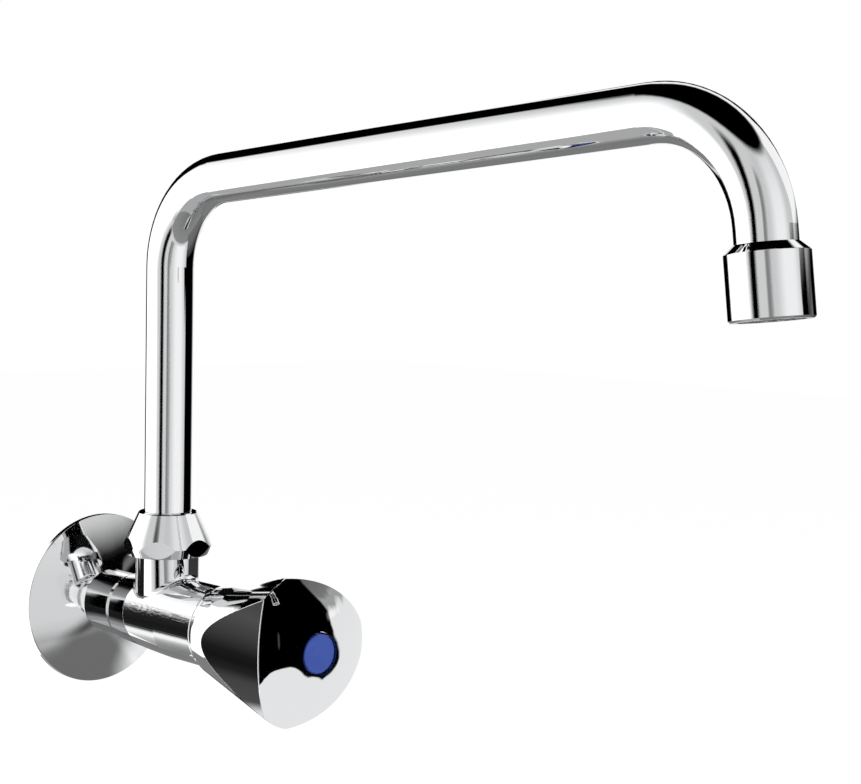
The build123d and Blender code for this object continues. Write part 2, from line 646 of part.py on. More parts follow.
def handle_form(inset):
    """The handle's outer form, or that form drawn in by a wall thickness.

    A cone that widens towards the front, closed by a spherical dome and cut
    by three large leaning cylinders, which leave the slightly convex facets.
    """
    apex = handle_apex - inset
    dome_r = HANDLE_DOME_R - inset
    rear_r = HANDLE_REAR_R - inset
    far_r = rear_r + HANDLE_FLARE * (apex - handle_rear)
    facet_station = handle_apex - FACET_DEPTH
    with BuildPart() as form:
        with BuildSketch(body_plane) as cone:
            with BuildLine():
                Polyline((0, handle_rear), (rear_r, handle_rear), (far_r, apex), (0, apex), close=True)
            make_face()
        revolve(cone.sketch, axis=Axis(body_plane.origin, body_plane.y_dir))
        with BuildSketch(body_plane) as dome:
            with BuildLine():
                Line((0, apex - 2 * dome_r), (0, apex))
                ThreePointArc((0, apex), (dome_r, apex - dome_r), (0, apex - 2 * dome_r))
            make_face()
        revolve(dome.sketch, axis=Axis(body_plane.origin, body_plane.y_dir), mode=Mode.INTERSECT)
        for facet in range(3):
            angle = math.radians(180 + FACET_TURN + 120 * facet)
            outward = Vector(math.cos(angle), 0, math.sin(angle))
            lean = outward * FACET_LEAN + body_plane.y_dir
            middle = outward * (FACET_DISTANCE - FACET_R) + body_plane.y_dir * facet_station
            facet_plane = Plane(origin=middle, x_dir=(0, 1, 0), z_dir=lean)
            with BuildSketch(facet_plane) as round_facet:
                Circle(FACET_R - inset)
            extrude(round_facet.sketch, amount=2 * facet_station, both=True, mode=Mode.INTERSECT)
    return form.part


with BuildPart() as cavity:
    add(handle_form(HANDLE_WALL))
    sleeve(body_plane, 0, HANDLE_REAR_R - HANDLE_WALL, handle_rear - HANDLE_WALL, handle_rear)
    sleeve(body_plane, 0, HUB_R, hub_start, handle_apex, mode=Mode.SUBTRACT)

with BuildPart() as handle:
    add(handle_form(0))
    # Every edge of the form is softened, except those of the open rear end.
    fillet(handle.edges().group_by(Axis.Y)[:-1], HANDLE_EDGE)
    add(cavity.part, mode=Mode.SUBTRACT)
    prism(body_plane, BUSH_FLATS + 2 * SLIP_GAP, hub_start, bush_end, mode=Mode.SUBTRACT)
    bored(body_plane, SCREW_R + LOOSE_GAP, bush_end, screw_seat)
    bored(body_plane, INDEX_PLUG_R + SLIP_GAP, screw_seat, handle_apex)
    bored(body_plane, RECESS_R, recess_floor, handle_apex)
finish(handle.part, "handle")

bush_start = spline_start + SEAT_GAP
with BuildPart() as spline_bush:
    prism(body_plane, BUSH_FLATS, bush_start, bush_end)
    splined(body_plane, SLIP_GAP, bush_start, spline_end, mode=Mode.SUBTRACT)
    bored(body_plane, SCREW_R + LOOSE_GAP, spline_end, bush_end)
finish(spline_bush.part, "spline_bush")

screw_top = screw_seat + SCREW_HEAD_HEIGHT
with BuildPart() as handle_screw:
    sleeve(body_plane, 0, SCREW_R, screw_hole_end + LOOSE_GAP, screw_seat)
    sleeve(body_plane, 0, SCREW_HEAD_R, screw_seat, screw_top)
    prism(body_plane, HEX_KEY_FLATS, screw_top - HEX_KEY_DEPTH, screw_top, mode=Mode.SUBTRACT)
finish(handle_screw.part, "handle_screw")

with BuildPart() as index_button:
    turned(
        body_plane,
        (0, recess_floor - INDEX_PLUG_LENGTH),
        (INDEX_PLUG_R, recess_floor - INDEX_PLUG_LENGTH),
        (INDEX_PLUG_R, recess_floor),
        (INDEX_R, recess_floor),
        (INDEX_R, index_face - INDEX_EDGE),
        (INDEX_R - INDEX_EDGE, index_face),
        (0, index_face),
    )
finish(index_button.part, "index_button")

# ================================================================ valve group
with BuildPart() as valve_washer:
    sleeve(body_plane, WASHER_SCREW_R + SLIP_GAP, WASHER_R, washer_face, washer_back)
finish(valve_washer.part, "valve_washer")

with BuildPart() as valve_carrier:
    sleeve(body_plane, 0, CARRIER_DISC_R, washer_back, carrier_disc_end)
    prism(body_plane, carrier_flats, washer_back, carrier_end)
    bored(body_plane, spindle_screw_r + THREAD_GAP, carrier_bore_start, carrier_end)
    bored(body_plane, WASHER_SCREW_R + THREAD_GAP, washer_back, washer_screw_end)
finish(valve_carrier.part, "valve_carrier")

with BuildPart() as washer_screw:
    sleeve(body_plane, 0, WASHER_SCREW_R, washer_face, washer_screw_end - SLIP_GAP)
    sleeve(body_plane, 0, WASHER_HEAD_R, washer_face - WASHER_HEAD_HEIGHT, washer_face)
finish(washer_screw.part, "washer_screw")
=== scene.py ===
"""Finishes, studio and camera for the wall-mounted sink tap with its swivel spout.

Every shape is the frame's own. This script gives each piece its finish, and stands the tap in a white studio
whose boards show only in its mirror surfaces.
"""
from functools import reduce

import bpy
import numpy as np
from mathutils import Matrix

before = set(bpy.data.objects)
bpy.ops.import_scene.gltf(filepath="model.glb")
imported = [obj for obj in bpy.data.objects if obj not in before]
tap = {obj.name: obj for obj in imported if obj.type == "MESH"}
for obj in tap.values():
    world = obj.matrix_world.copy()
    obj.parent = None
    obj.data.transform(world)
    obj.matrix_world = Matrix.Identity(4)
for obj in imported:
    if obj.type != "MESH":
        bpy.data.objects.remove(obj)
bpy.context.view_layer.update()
scene = bpy.context.scene
scene.view_settings.view_transform = "Standard"


# ---------------------------------------------------------------- camera

PICTURE_WIDTH = 861.0  # pixels
FOCAL_LENGTH = 1726.0  # in those pixels
SENSOR_WIDTH = 36.0  # mm
CAMERA_AZIMUTH, CAMERA_ELEVATION = -46.15, 4.56  # the side from which it looks, in degrees
CAMERA_ROLL = 1.25  # degrees
CAMERA_PLACE = (0.1343, 0.08276, 0.69806)  # metres to its own right, up and back, from the frame's origin


def unit(v):
    return v / np.linalg.norm(v)


def aim(azimuth, elevation):
    """Unit vectors towards azimuths and elevations in degrees: 0 is straight out of the wall (-Y), 90 is +X."""
    az, el = np.radians(azimuth), np.radians(elevation)
    return np.stack([np.sin(az) * np.cos(el), -np.cos(az) * np.cos(el), np.sin(el)], -1)


def stand(obj, right, up, back, place):
    """Puts an object into the scene at a place, its own X, Y and Z turned to right, up and back."""
    turn = np.eye(4)
    turn[:3] = np.transpose([right, up, back, place])
    obj.matrix_world = Matrix(turn.tolist())
    scene.collection.objects.link(obj)


def stand_camera():
    """A 72 mm lens at the tap's front left, a little above its middle and rolled slightly."""
    back = aim(CAMERA_AZIMUTH, CAMERA_ELEVATION)
    right = unit(np.cross(-back, [0.0, 0.0, 1.0]))
    up = np.cross(right, -back)
    cos, sin = np.cos(np.radians(CAMERA_ROLL)), np.sin(np.radians(CAMERA_ROLL))
    right, up = right * cos + up * sin, up * cos - right * sin
    data = bpy.data.cameras.new("studio_camera")
    data.sensor_width = SENSOR_WIDTH
    data.lens = SENSOR_WIDTH * FOCAL_LENGTH / PICTURE_WIDTH
    data.clip_start = 0.01
    data.clip_end = 50.0
    camera = bpy.data.objects.new("studio_camera", data)
    stand(camera, right, up, back, np.dot(CAMERA_PLACE, [right, up, back]))
    scene.camera = camera


# ---------------------------------------------------------------- node helpers

def put(tree, kind, sockets=None, **settings):
    """Adds a node, sets its own settings, and fills its sockets with values or links."""
    n = tree.nodes.new(kind)
    for key, value in settings.items():
        setattr(n, key, value)
    for key, value in (sockets or {}).items():
        if isinstance(value, bpy.types.NodeSocket):
            tree.links.new(value, n.inputs[key])
        else:
            n.inputs[key].default_value = value
    return n


def calc(tree, operation, a, b):
    return put(tree, "ShaderNodeMath", {0: a, 1: b}, operation=operation).outputs[0]


def ramp(tree, value, low, high, out_low=0.0, out_high=1.0):
    """Eases from one result to the other while the value goes from low to high, and stays level outside."""
    return put(tree, "ShaderNodeMapRange", {"Value": value, "From Min": low, "From Max": high,
                                            "To Min": out_low, "To Max": out_high},
               interpolation_type="SMOOTHSTEP").outputs["Result"]


def noise(tree, at, scale, detail=2.0, roughness=0.5):
    return put(tree, "ShaderNodeTexNoise", {"Vector": at, "Scale": scale, "Detail": detail,
                                            "Roughness": roughness}).outputs[0]


def new_material(name):
    m = bpy.data.materials.new(name)
    m.use_nodes = True
    m.node_tree.nodes.clear()
    return m, m.node_tree


def seen_by_eye(tree):
    """1 for what the camera, a mirror or glass sees, 0 for the light that falls on the tap."""
    path = put(tree, "ShaderNodeLightPath").outputs
    return calc(tree, "MAXIMUM", path["Is Camera Ray"],
                calc(tree, "MAXIMUM", path["Is Glossy Ray"], path["Is Transmission Ray"]))


# ---------------------------------------------------------------- boards

CHROME_GAIN = 0.88  # what the plating gives back
BRIGHTEST = 1.4  # the strongest board, in units of the white surround
STUDIO_CENTRE = np.array([0.0, -0.15, 0.10])
CARD_SPACING = 0.0005  # metres between two cards of the same stated distance
NO_FADE = (0, 0, 0, 0)
ROUND_STEPS = (48, 12)  # divisions of a card that runs far round the tap
SECOND_BOUNCE = 1.5  # between a ray's first and second mirror
TEARS_START, TEARS_FULL = 0.34, 0.66  # shares of a board's height between which its tears grow
TEARS_SLIMMED = 0.45  # a tear's width by its height


def linear(tone):
    """Light strength whose screen grey is `tone` (0 to 255)."""
    t = tone / 255.0
    return t / 12.92 if t <= 0.04045 else ((t + 0.055) / 1.055) ** 2.4


def strength_of(tone):
    """Board strength that the plating shows as `tone`; tones over 255 stand for light beyond white."""
    return linear(min(tone, 255)) * max(1.0, tone / 255) / CHROME_GAIN


def tone_ramp(tree, along, stops):
    """Strength that follows the greys of (place, grey) stops, as `along` runs from 0 to 1."""
    curve = put(tree, "ShaderNodeValToRGB", {0: along})
    bar = curve.color_ramp
    while len(bar.elements) < len(stops):
        bar.elements.new(0.5)
    for stop, (place, tone) in zip(bar.elements, stops):
        level = strength_of(tone) / BRIGHTEST
        stop.position = min(max(place, 0.0), 1.0)
        stop.color = (level, level, level, 1.0)
    level = put(tree, "ShaderNodeSeparateColor", {0: curve.outputs[0]}).outputs[0]
    return calc(tree, "MULTIPLY", level, BRIGHTEST)


def board_shade(name, stops, shares, adds=False, ragged=None, second_look=False):
    """Glow of a board, whose greys run up it through `stops`.

    It fades out over the four shares of its sides (left, right, low, high). adds: it lays its glow over what is
    behind instead of hiding that. ragged: (reach, grain) of a noise that tears the greys of its upper part.
    second_look: it is there only for light that one other mirror has already thrown on.
    """
    m, tree = new_material(name)
    uv = put(tree, "ShaderNodeUVMap", uv_map="board").outputs[0]
    u, v = put(tree, "ShaderNodeSeparateXYZ", {0: uv}).outputs[:2]
    from_sides = (u, calc(tree, "SUBTRACT", 1.0, u), v, calc(tree, "SUBTRACT", 1.0, v))
    covers = [ramp(tree, depth, 0.0, share) for depth, share in zip(from_sides, shares) if share > 0]
    if second_look:
        bounces = put(tree, "ShaderNodeLightPath").outputs["Glossy Depth"]
        covers.append(calc(tree, "GREATER_THAN", bounces, SECOND_BOUNCE))
    at = v
    if ragged:
        reach, grain = ragged
        torn = (grain, TEARS_SLIMMED * grain, 1.0)
        tears = put(tree, "ShaderNodeMapping", {"Vector": uv, "Scale": torn}).outputs[0]
        tears = calc(tree, "SUBTRACT", noise(tree, tears, 1.0, 5.0, 0.62), 0.5)
        grown = ramp(tree, v, TEARS_START, TEARS_FULL, 0.0, reach)
        at = calc(tree, "ADD", v, calc(tree, "MULTIPLY", tears, grown))
    glow = put(tree, "ShaderNodeEmission", {"Strength": tone_ramp(tree, at, stops)}).outputs[0]
    clear = put(tree, "ShaderNodeBsdfTransparent").outputs[0]
    if adds:
        glow = put(tree, "ShaderNodeAddShader", {0: clear, 1: glow}).outputs[0]
    if covers:
        cover = reduce(lambda a, b: calc(tree, "MULTIPLY", a, b), covers)
        glow = put(tree, "ShaderNodeMixShader", {0: cover, 1: clear, 2: glow}).outputs[0]
    put(tree, "ShaderNodeOutputMaterial", {"Surface": glow})
    m.cycles.emission_sampling = "NONE"
    return m


def lay_board(name, pts, faces, uv, shade):
    """Puts a board's mesh into the studio, where only mirror reflections see it."""
    mesh = bpy.data.meshes.new(name)
    mesh.from_pydata(pts, [], faces)
    mesh.uv_layers.new(name="board").data.foreach_set("uv", np.asarray(uv, float).ravel())
    mesh.materials.append(shade)
    obj = bpy.data.objects.new(name, mesh)
    scene.collection.objects.link(obj)
    for ray in ("camera", "diffuse", "shadow", "transmission", "volume_scatter"):
        setattr(obj, "visible_" + ray, False)
    return obj


def link_light(obj, nodes, state):
    """EXCLUDE: these nodes see the board dark, all others its light. INCLUDE: only these nodes see its light."""
    group = bpy.data.collections.new(obj.name + "_mirrors")
    for n in nodes:
        group.objects.link(tap[n])
    for link in group.collection_objects:
        link.light_linking.link_state = state
    obj.light_linking.receiver_collection = group


def card(name, sides, profile, fade, distance, centre=STUDIO_CENTRE, steps=(24, 24), left=None, right=None,
         top=None, dark_for=(), veil_for=(), **look):
    """A reflector card curved round `centre`. Of two cards, the nearer hides the farther.

    Each point is centre + distance * aim(azimuth, elevation), the azimuth running over `sides` and the
    elevation from the first to the last entry of `profile`, whose pairs give an elevation and the grey that
    the plating shows there. The card fades out over the four `fade` angles (left, right, low, high).
    `left` and `right`, lists of (elevation, azimuth), bend its two sides: the azimuth then runs between their
    values at that elevation. `top`, a list of (azimuth, elevation), bends its upper edge in the same way.
    dark_for: nodes that see it black. veil_for: the only nodes that see its light, added to what is behind.
    """
    low, high = profile[0][0], profile[-1][0]
    width, height = sides[1] - sides[0], high - low
    distance += CARD_SPACING * len(bpy.data.meshes)
    s, t = np.meshgrid(np.linspace(0, 1, steps[0] + 1), np.linspace(0, 1, steps[1] + 1), indexing="ij")
    el = low + t * height
    start = np.interp(el, *np.transpose(left)) if left else sides[0]
    end = np.interp(el, *np.transpose(right)) if right else sides[1]
    az = start + s * (end - start)
    if top:
        el = low + t * (np.interp(az, *np.transpose(top)) - low)
    pts = (centre + distance * aim(az, el)).reshape(-1, 3)
    i, j = np.meshgrid(np.arange(steps[0]), np.arange(steps[1]), indexing="ij")
    a = i * (steps[1] + 1) + j
    faces = np.stack([a, a + 1, a + steps[1] + 2, a + steps[1] + 1], -1).reshape(-1, 4)
    uv = np.stack([s, t], -1).reshape(-1, 2)[faces.ravel()]
    shares = (fade[0] / width, fade[1] / width, fade[2] / height, fade[3] / height)
    stops = [((e - low) / height, tone) for e, tone in profile]
    obj = lay_board(name, pts, faces, uv, board_shade(name, stops, shares, adds=bool(veil_for), **look))
    if dark_for:
        link_light(obj, dark_for, "EXCLUDE")
    if veil_for:
        link_light(obj, veil_for, "INCLUDE")


def board(name, stands_at, width, heights, tone, shares):
    """A flat upright board of one grey that faces the tap's middle.

    Its points are foot + s * width * across + t * height, s running from left to right as the tap sees it;
    stands_at is the middle of its foot. It fades out over the four shares of its sides (left, right, low, high).
    """
    foot = np.array([*stands_at, heights[0]], float)
    facing = unit((STUDIO_CENTRE - foot) * [1, 1, 0])
    across = np.cross(facing, [0.0, 0.0, 1.0]) * width / 2
    upward = np.array([0.0, 0.0, heights[1] - heights[0]])
    pts = [foot - across, foot - across + upward, foot + across + upward, foot + across]
    lay_board(name, pts, [(0, 1, 2, 3)], [0, 0, 0, 1, 1, 1, 1, 0],
              board_shade(name, [(0, tone), (1, tone)], shares))


# ---------------------------------------------------------------- studio

FLOOR_LEVEL = -0.42
FLOOR_REACH = 6.0
FLOOR_GREY = (0.86, 0.86, 0.86, 1.0)
FLOOR_LIFT = 0.30  # added where the floor is seen, so that it runs into the white surround
SURROUND_LIGHT = 0.80  # what the surround throws on the tap, where it looks 1.0
KEY_AIM, KEY_DISTANCE, KEY_SIZE, KEY_POWER = (-70, 50), 1.3, 0.9, 5.0


def light_studio():
    """An even white surround and one soft lamp over the tap's left front."""
    world = bpy.data.worlds.new("white_surround")
    scene.world = world
    world.use_nodes = True
    tree = world.node_tree
    tree.nodes.clear()
    strength = ramp(tree, seen_by_eye(tree), 0.0, 1.0, SURROUND_LIGHT, 1.0)
    back = put(tree, "ShaderNodeBackground", {"Color": (1.0, 1.0, 1.0, 1.0), "Strength": strength})
    put(tree, "ShaderNodeOutputWorld", {"Surface": back.outputs[0]})

    lamp = bpy.data.lights.new("soft_key", "AREA")
    lamp.shape = "DISK"
    lamp.size = KEY_SIZE
    lamp.energy = KEY_POWER
    key = bpy.data.objects.new("soft_key", lamp)
    look = aim(*KEY_AIM)
    side = unit(np.cross([0.0, 0.0, 1.0], look))
    stand(key, side, np.cross(look, side), look, STUDIO_CENTRE + KEY_DISTANCE * look)
    key.visible_glossy = False


def lay_floor():
    """A plain pale floor. A camera under it looks through it."""
    mesh = bpy.data.meshes.new("studio_floor")
    corners = [(-1, -1), (1, -1), (1, 1), (-1, 1)]
    mesh.from_pydata([(x * FLOOR_REACH, y * FLOOR_REACH, FLOOR_LEVEL) for x, y in corners], [], [(0, 1, 2, 3)])
    m, tree = new_material("studio_floor_paint")
    paint = put(tree, "ShaderNodeBsdfDiffuse", {"Color": FLOOR_GREY}).outputs[0]
    lift = calc(tree, "MULTIPLY", seen_by_eye(tree), FLOOR_LIFT)
    lift = put(tree, "ShaderNodeEmission", {"Strength": lift}).outputs[0]
    above = put(tree, "ShaderNodeAddShader", {0: paint, 1: lift}).outputs[0]
    from_below = put(tree, "ShaderNodeNewGeometry").outputs["Backfacing"]
    clear = put(tree, "ShaderNodeBsdfTransparent").outputs[0]
    both = put(tree, "ShaderNodeMixShader", {0: from_below, 1: above, 2: clear}).outputs[0]
    put(tree, "ShaderNodeOutputMaterial", {"Surface": both})
    mesh.materials.append(m)
    floor = bpy.data.objects.new("studio_floor", mesh)
    floor.visible_glossy = False
    scene.collection.objects.link(floor)


NEAR_PARTS = ("rosette", "handle")  # these two have boards of their own in front
FACE = np.array([0.0, -0.128, 0.0])  # the middle of the handle's face
BARREL_SIDE = [(-42, -184), (-36, -179), (-30, -169), (-24, -162.5), (-19, -159), (-10, -156), (0, -156),
               (8, -159), (17, -162)]
BARREL_TOP = [(-162, 9), (-153, 12), (-149, 14), (-144, 17), (-134, 17)]


def hang_surround():
    """Ceiling, floor and soft boxes all round the tap, set by the direction in which the chrome sees each."""
    card("ceiling_flag", (0, 360), [(47, 0), (90, 0)], (0, 0, 7, 0), 1.45, steps=ROUND_STEPS)
    card("floor_board", (0, 360), [(-90, 112), (-30, 140)], NO_FADE, 1.7, steps=ROUND_STEPS, dark_for=NEAR_PARTS)
    card("floor_board_left", (-212, -100), [(-90, 165), (-40.5, 165)], (36, 6, 0, 1), 1.65, dark_for=("handle",))
    card("rear_floor_board", (112, 186), [(-60, 115), (-13, 125)], (4, 2, 1, 3), 1.66)
    card("left_softbox", (-182, -90), [(-42, 300), (20, 300), (45, 205), (62, 140)], (2, 30, 0, 0), 1.62)
    card("left_pale_panel", (-119, -40), [(-39, 208), (62, 196)], (15, 8, 3, 4), 1.61,
         left=[(-39, -104), (-5, -108), (2, -114), (5, -116), (11, -122), (20, -125), (62, -125)])
    card("front_softbox", (-55, 52), [(-40, 205), (62, 190)], (10, 2, 4, 10), 1.6,
         right=[(-40, 48), (-14, 48), (-8, 54), (12, 54), (18, 51), (24, 48), (35, 43), (62, 40)],
         dark_for=NEAR_PARTS)
    card("front_softbox_middle", (-40, 38), [(-36, 242), (5, 238), (30, 228), (55, 208)], (32, 28, 4, 10), 1.58,
         right=[(-36, 47), (-6, 47), (10, 34), (55, 34)], dark_for=NEAR_PARTS)
    card("right_surround", (30, 150), [(-31, 241), (64, 241)], (0, 0, 0, 4), 1.64, dark_for=NEAR_PARTS)
    card("right_floor_board", (40, 118), [(-52, 112), (-34, 103), (-12, 92)], (2, 6, 4, 3), 1.63,
         dark_for=NEAR_PARTS)


def hang_second_looks():
    """What one mirror of the tap shows of another's surroundings."""
    card("front_second_look", (-25, 60), [(4, 12), (60, 12)], (6, 6, 4, 4), 0.8, second_look=True)
    card("left_second_look", (-95, -42), [(-62, 170), (58, 170)], (0, 6, 0, 2), 0.8, dark_for=("rosette",),
         second_look=True)
    card("wall_second_look", (-97, -40),
         [(-80, 125), (-56, 150), (-48, 100), (-42, 60), (-38, 26), (-14, 30), (4, 38), (9, 120), (14, 190),
          (20, 235), (26, 195), (31, 150), (44, 130), (55, 110), (62, 30), (70, 8)],
         (0, 8, 0, 0), 0.72, veil_for=("rosette",), second_look=True)
    card("crescent_second_look", (38, 80), [(34, 205), (62, 205)], (4, 4, 4, 4), 0.71, veil_for=("rosette",),
         second_look=True)
    card("handle_second_look", (-55, 8), [(-42, 212), (32, 212)], (4, 4, 3, 3), 0.7, veil_for=("handle",),
         second_look=True)
    card("recess_second_look", (-35, 85), [(-85, 115), (-42, 115)], (3, 3, 3, 2), 0.66, dark_for=("handle",),
         second_look=True)
    card("spout_second_look", (-245, -84), [(6, 215), (34, 215)], (3, 3, 3, 3), 0.68, steps=ROUND_STEPS,
         dark_for=("spout_tube", "spout_end", "aerator_shell"), second_look=True)
    card("rear_second_look", (88, 205), [(38, 20), (68, 8)], (4, 4, 4, 2), 0.69, second_look=True)


def hang_flags():
    """The dark and grey boards that draw the stripes of the riser, the arm, the two bends and the nozzle."""
    board("left_flag", (-0.69, -0.222), 0.33, (-0.5, 0.75), 0, (0.40, 0.34, 0.2, 0.2))
    board("left_grey_strip", (-0.75, -0.80), 0.34, (-0.6, 0.9), 128, (0.30, 0.55, 0.1, 0.2))
    board("left_grey_tail", (-0.66, -0.90), 0.26, (-0.6, 0.12), 160, (0.4, 0.5, 0.1, 0.2))
    card("right_flag_low", (46, 124), [(-26, 92), (-11, 40)], (1, 14, 4, 0), 1.52,
         dark_for=("spout_nut",) + NEAR_PARTS)
    card("right_flag", (45, 124), [(-13, 0), (13, 0)], (3, 26, 2, 7), 1.5,
         right=[(-13, 131), (-2, 128), (5, 119), (13, 112)])
    card("right_flag_corner", (27, 50), [(-3, 0), (14, 0)], (3, 4, 3, 5), 1.49,
         left=[(-3, 40), (2, 32), (6, 27), (10, 25), (14, 33)])
    card("right_flag_sheen", (51, 72), [(1, 105), (8, 105)], (3, 4, 3, 3), 1.48, dark_for=("spout_nut",))
    card("rear_flag", (135, 184), [(-14, 0), (62, 0)], (3, 5, 3, 1), 1.5,
         right=[(-14, 178), (5, 180), (13, 181), (25, 192), (44, 190), (50, 196), (62, 198)])
    card("rear_blob", (98, 131), [(7, 0), (38, 0)], (5, 3, 3, 5), 1.5,
         left=[(7, 98), (15, 98), (20, 92), (38, 88)])
    card("arm_floor_right", (112, 151), [(-33, 116), (-14, 118)], (4, 2, 0, 2), 1.59, dark_for=NEAR_PARTS)
    card("side_flag", (-166, -132), [(-40, 300), (17, 300)], NO_FADE, 1.1, dark_for=("handle",),
         left=[(-40, -172), (-33, -171.5), (-27, -166), (-20, -162), (17, -162)])
    card("barrel_flag", (-184, -134), [(-42, 300), (17, 300)], NO_FADE, 1.05, left=BARREL_SIDE, top=BARREL_TOP,
         dark_for=("handle", "body"))
    card("arm_floor_left", (-184, -136), [(-42, 162), (-34, 162)], (0, 4, 0, 1.6), 1.02, steps=ROUND_STEPS,
         left=BARREL_SIDE, top=[(-184, -40), (-178, -36), (-166, -34.4), (-161, -33.8), (-159, -34.2),
                                (-156, -35.8), (-153, -36.8), (-149, -38.3), (-145, -39.3), (-136, -41.2)],
         dark_for=("handle", "body"))


def hang_plate_boards():
    """What the wall plate mirrors: a grey floor up to its horizon, a dark band above it and a rising sheen."""
    def veil(name, *rest, **look):
        card("plate_" + name, *rest, veil_for=("rosette",), **look)
    veil("floor", (0, 360), [(-90, 106), (-38, 106)], (0, 0, 0, 4), 1.0)
    veil("front", (-55, 30),
         [(-50, 10), (-46, 70), (-44, 110), (-41, 150), (-38, 172), (-34, 195), (-28, 206), (0, 208), (20, 215),
          (35, 170), (46, 100), (55, 60)],
         (10, 21, 0, 8), 0.98, right=[(-50, 18), (-39, 18), (-31, 27), (-16, 34), (60, 30)])
    veil("right", (6, 104),
         [(-44, 104), (-16, 98), (-12, 4), (9, 2), (11, 30), (13, 92), (15, 128), (17, 155), (19, 178), (21, 194),
          (25, 212), (60, 220)],
         (24, 10, 4, 8), 0.96, top=[(6, 66), (35, 63.5), (42, 62), (52, 59.5), (61, 55), (104, 50)])
    veil("glow", (62, 112), [(-52, 60), (-46, 170), (-42, 205), (-34, 220), (-22, 120)], (20, 8, 4, 6), 0.94)


def hang_handle_boards():
    """What the handle mirrors: white round a black flag that stands before its face's left part, smoke above it
    on the right, and a dark grey side."""
    def veil(name, *rest, **look):
        card("handle_" + name, *rest, veil_for=("handle",), **look)
    veil("face_low", (-75, 60.6), [(-90, 226), (-19, 226)], (6, 2, 0, 1), 0.9, FACE, (96, 24),
         top=[(-75, -36), (-20, -36), (-12.2, -32.3), (-10.2, -27.4), (-6, -23), (-2.4, -21.2), (4.7, -19.7),
              (12, -18.9), (17, -20), (23, -22.6), (28, -26), (33, -28), (52.5, -29), (60.6, -25)])
    veil("face_right", (58.6, 138),
         [(-90, 226), (-12, 226), (7, 224), (10, 205), (13.5, 152), (18, 158), (22, 118), (30, 105), (38, 95),
          (50, 60)],
         (2, 10, 0, 8), 0.9, FACE, (24, 96), ragged=(0.16, 12.0),
         left=[(-90, 58.6), (-26, 58.6), (-24, 61.5), (-20.4, 65), (-17.4, 66), (-13.3, 64.7), (-8.1, 61.4),
               (-3, 56.5), (3.3, 53.8), (12.2, 53), (18.7, 49.5), (24, 46), (28, 44), (35.5, 41), (50, 36)])
    veil("face_glint", (-1.2, 1.4), [(-6, 70), (10, 70)], (1.2, 1.4, 5, 5), 0.88, FACE, (4, 12))
    veil("rear_low", (134, 166), [(-16, 255), (10, 255)], (4, 4, 2, 0), 0.75,
         top=[(134, 0), (145, 3), (150, 4), (154, 7), (158, 10), (166, 12)])
    veil("floor_rear", (138, 285), [(-90, 150), (-36, 226)], (0, 0, 0, 4), 1.0)
    veil("side", (-172, -132),
         [(-40, 75), (-30, 66), (-26, 34), (-22, 21), (-18, 27), (-14, 45), (-10, 58), (-4, 70), (0, 76), (4, 72),
          (17, 58)],
         NO_FADE, 1.0)


def hang_body_boards():
    """What the barrel mirrors low on its left: a dark ragged band between two pale ones."""
    card("barrel_band", (-184, -134),
         [(-42, 120), (-37, 158), (-34, 195), (-32, 238), (-29, 248), (-27.5, 225), (-26, 150), (-25, 24),
          (-24, 100), (-23, 32), (-14, 24), (-5, 34), (0, 22), (4, 70), (8, 190), (12, 250), (17, 255)],
         NO_FADE, 1.0, left=BARREL_SIDE, top=BARREL_TOP, ragged=(1.0, 70.0), veil_for=("body",))


# ---------------------------------------------------------------- marks that several finishes share

def new_group(name, inputs, outputs):
    """An empty node group: its inputs with their usual values, and the names of the numbers that it puts out."""
    g = bpy.data.node_groups.new(name, "ShaderNodeTree")
    for label, value in inputs.items():
        kind = "NodeSocketVector" if isinstance(value, tuple) else "NodeSocketFloat"
        g.interface.new_socket(label, in_out="INPUT", socket_type=kind).default_value = value
    for label in outputs:
        g.interface.new_socket(label, in_out="OUTPUT", socket_type="NodeSocketFloat")
    return g, g.nodes.new("NodeGroupInput").outputs


def put_out(g, results):
    out = g.nodes.new("NodeGroupOutput")
    for label, socket in results.items():
        g.links.new(socket, out.inputs[label])
    return g


HAIRLINE_RUNS = ((90.0, 2600.0, 1400.0), (2300.0, 120.0, 1700.0), (1500.0, 2100.0, 110.0))  # changes per metre
HAIRLINE_TURN = (0.4, 0.7, 0.3)
HAIRLINE_DEPTH = 1.2e-7
FILM_SCALE = 38.0
DROPS_SCALE = 210.0


